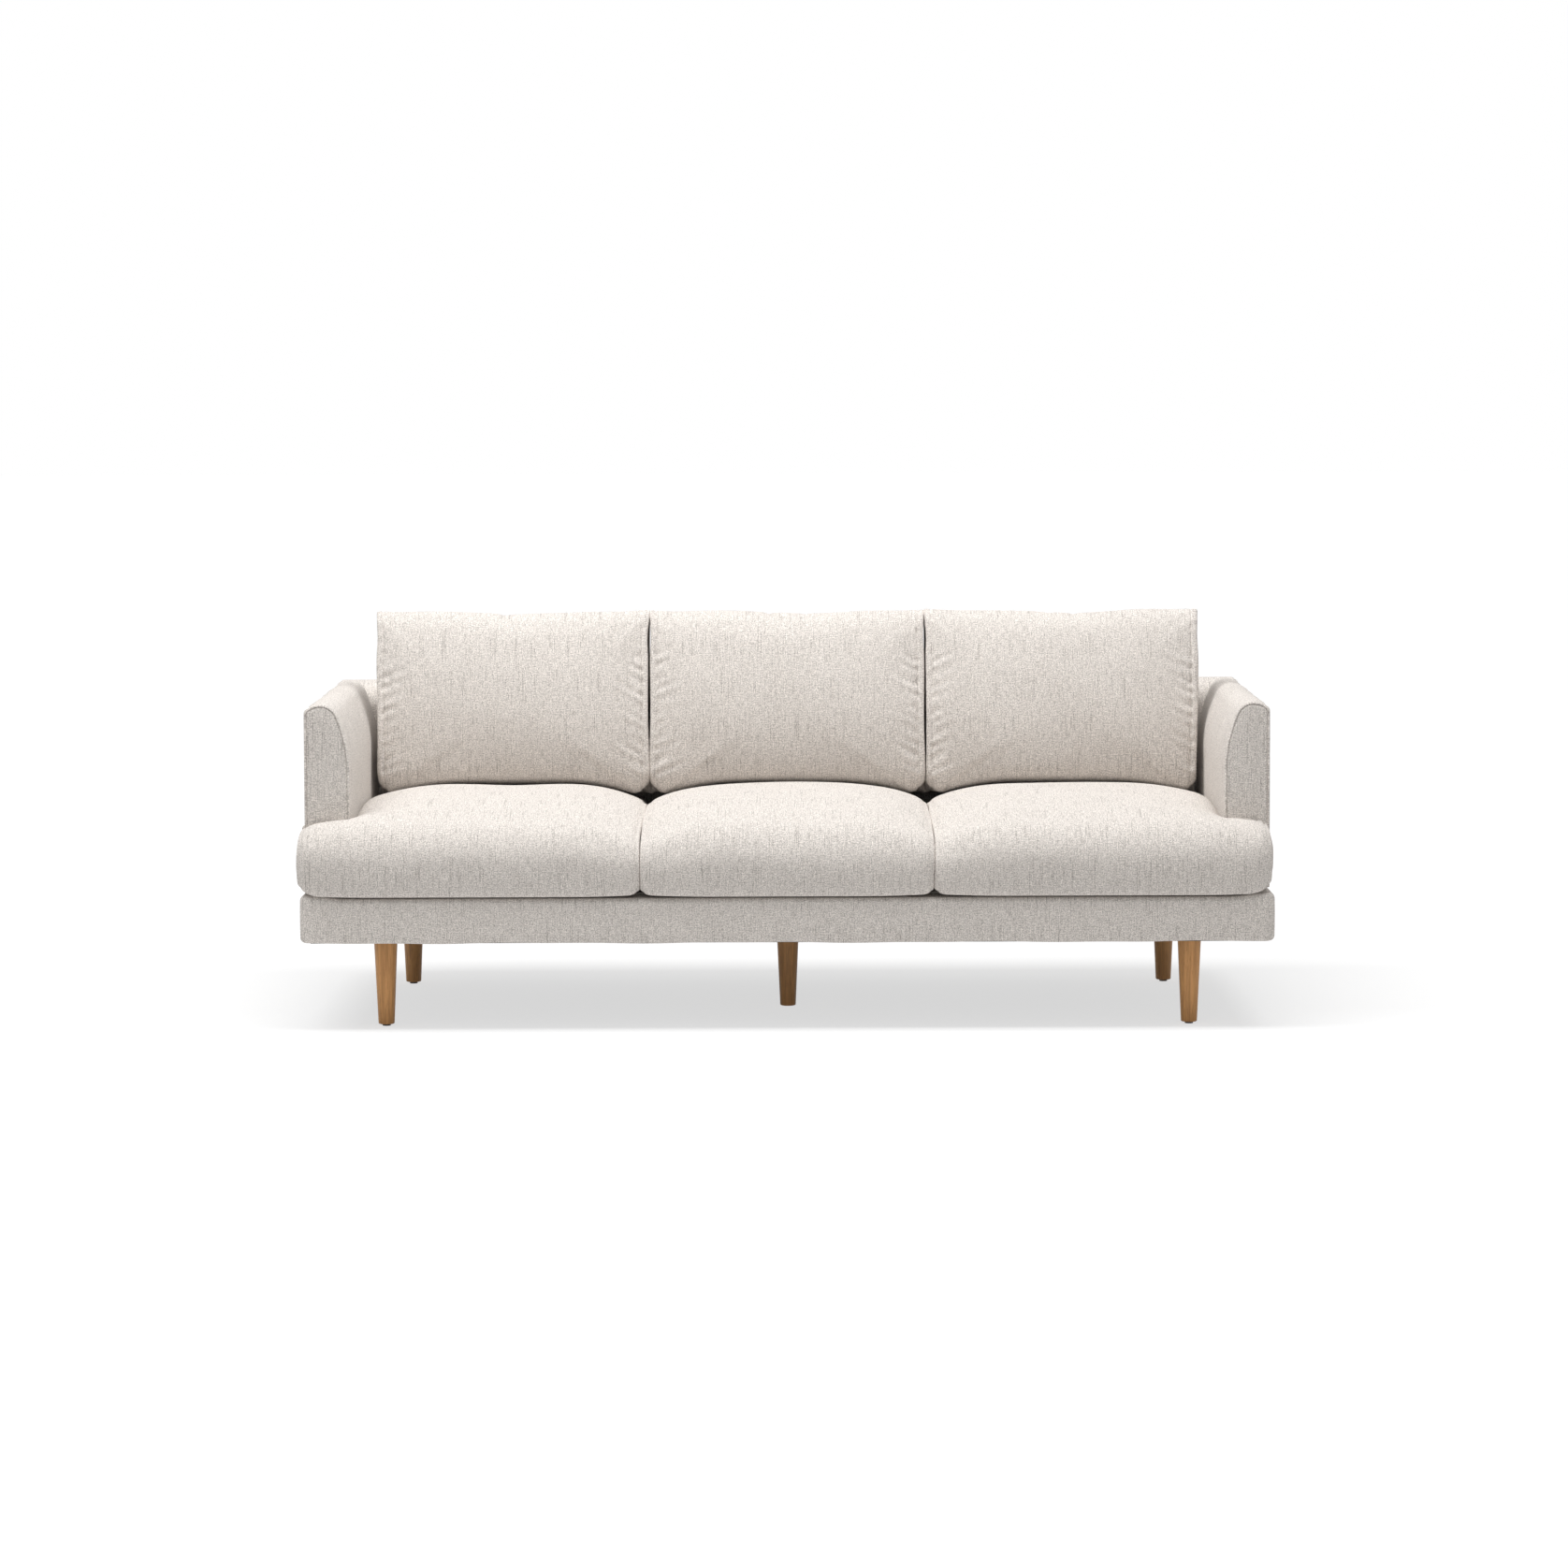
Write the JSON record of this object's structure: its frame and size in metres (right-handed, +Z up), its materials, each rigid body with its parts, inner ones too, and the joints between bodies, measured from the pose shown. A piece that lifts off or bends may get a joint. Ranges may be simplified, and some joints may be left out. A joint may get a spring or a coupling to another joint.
{
  "type": "three-seat sofa",
  "caption": "Low fabric sofa with slim arms, loose crowned seat cushions that wrap in front of the arms, loose back cushions and straight tapered wooden legs.",
  "frame": {"origin": "on the floor under the middle of the sofa's overall box", "axes": "+X along the sofa to the right as seen from the front, +Y to the rear, +Z up; the sitter faces -Y"},
  "size_m": [2.1, 0.92, 0.868],
  "materials": {
    "oatmeal_linen": "slubby woven linen blend",
    "deck_cloth": "plain woven lining",
    "dust_cloth": "non-woven bottom cloth",
    "foam": "open-cell polyurethane foam",
    "fibre_fill": "fibre filling in a cambric bag",
    "webbing": "woven elastic webbing",
    "frame_timber": "planed softwood",
    "leg_oak": "oiled oak",
    "zinc_steel": "bright zinc",
    "glide_plastic": "moulded nylon"
  },
  "bodies": {
    "frame": {"arm_bottom_rail_left": "frame_timber", "arm_bottom_rail_right": "frame_timber", "arm_cover_left": "oatmeal_linen", "arm_cover_right": "oatmeal_linen", "arm_foam_left": "foam", "arm_foam_right": "foam", "arm_front_post_left": "frame_timber", "arm_front_post_right": "frame_timber", "arm_rear_post_left": "frame_timber", "arm_rear_post_right": "frame_timber", "arm_screws_left": "zinc_steel", "arm_screws_right": "zinc_steel", "arm_top_rail_left": "frame_timber", "arm_top_rail_right": "frame_timber", "back_bottom_rail": "frame_timber", "back_cover": "oatmeal_linen", "back_end_post_left": "frame_timber", "back_end_post_right": "frame_timber", "back_foam": "foam", "back_inner_post_left": "frame_timber", "back_inner_post_right": "frame_timber", "back_screws": "zinc_steel", "back_straps": "webbing", "back_top_rail": "frame_timber", "base_cover_front": "oatmeal_linen", "base_cover_left": "oatmeal_linen", "base_cover_rear": "oatmeal_linen", "base_cover_right": "oatmeal_linen", "base_front_rail": "frame_timber", "base_rear_rail": "frame_timber", "base_side_rail_left": "frame_timber", "base_side_rail_right": "frame_timber", "centre_rail": "frame_timber", "dust_cover": "dust_cloth", "leg_bolts": "zinc_steel", "leg_centre": "leg_oak", "leg_front_left": "leg_oak", "leg_front_right": "leg_oak", "leg_glides": "glide_plastic", "leg_nuts": "zinc_steel", "leg_rail_left": "frame_timber", "leg_rail_right": "frame_timber", "leg_rear_left": "leg_oak", "leg_rear_right": "leg_oak", "lengthwise_straps": "webbing", "seat_deck": "deck_cloth", "seat_straps": "webbing"},
    "seat_left": {"seat_cover_left": "oatmeal_linen", "seat_core_left": "foam"},
    "seat_middle": {"seat_cover_middle": "oatmeal_linen", "seat_core_middle": "foam"},
    "seat_right": {"seat_cover_right": "oatmeal_linen", "seat_core_right": "foam"},
    "back_left": {"back_cushion_cover_left": "oatmeal_linen", "back_cushion_insert_left": "fibre_fill"},
    "back_middle": {"back_cushion_cover_middle": "oatmeal_linen", "back_cushion_insert_middle": "fibre_fill"},
    "back_right": {"back_cushion_cover_right": "oatmeal_linen", "back_cushion_insert_right": "fibre_fill"}
  },
  "joints": [
    {"name": "seat_left_pull", "type": "slide", "parent": "frame", "child": "seat_left", "axis": [0, -1, 0], "range_m": [0, 0.35]},
    {"name": "seat_middle_pull", "type": "slide", "parent": "frame", "child": "seat_middle", "axis": [0, -1, 0], "range_m": [0, 0.35]},
    {"name": "seat_right_pull", "type": "slide", "parent": "frame", "child": "seat_right", "axis": [0, -1, 0], "range_m": [0, 0.35]},
    {"name": "back_left_lift", "type": "slide", "parent": "frame", "child": "back_left", "axis": [0, 0, 1], "range_m": [0, 0.3]},
    {"name": "back_middle_lift", "type": "slide", "parent": "frame", "child": "back_middle", "axis": [0, 0, 1], "range_m": [0, 0.3]},
    {"name": "back_right_lift", "type": "slide", "parent": "frame", "child": "back_right", "axis": [0, 0, 1], "range_m": [0, 0.3]}
  ]
}
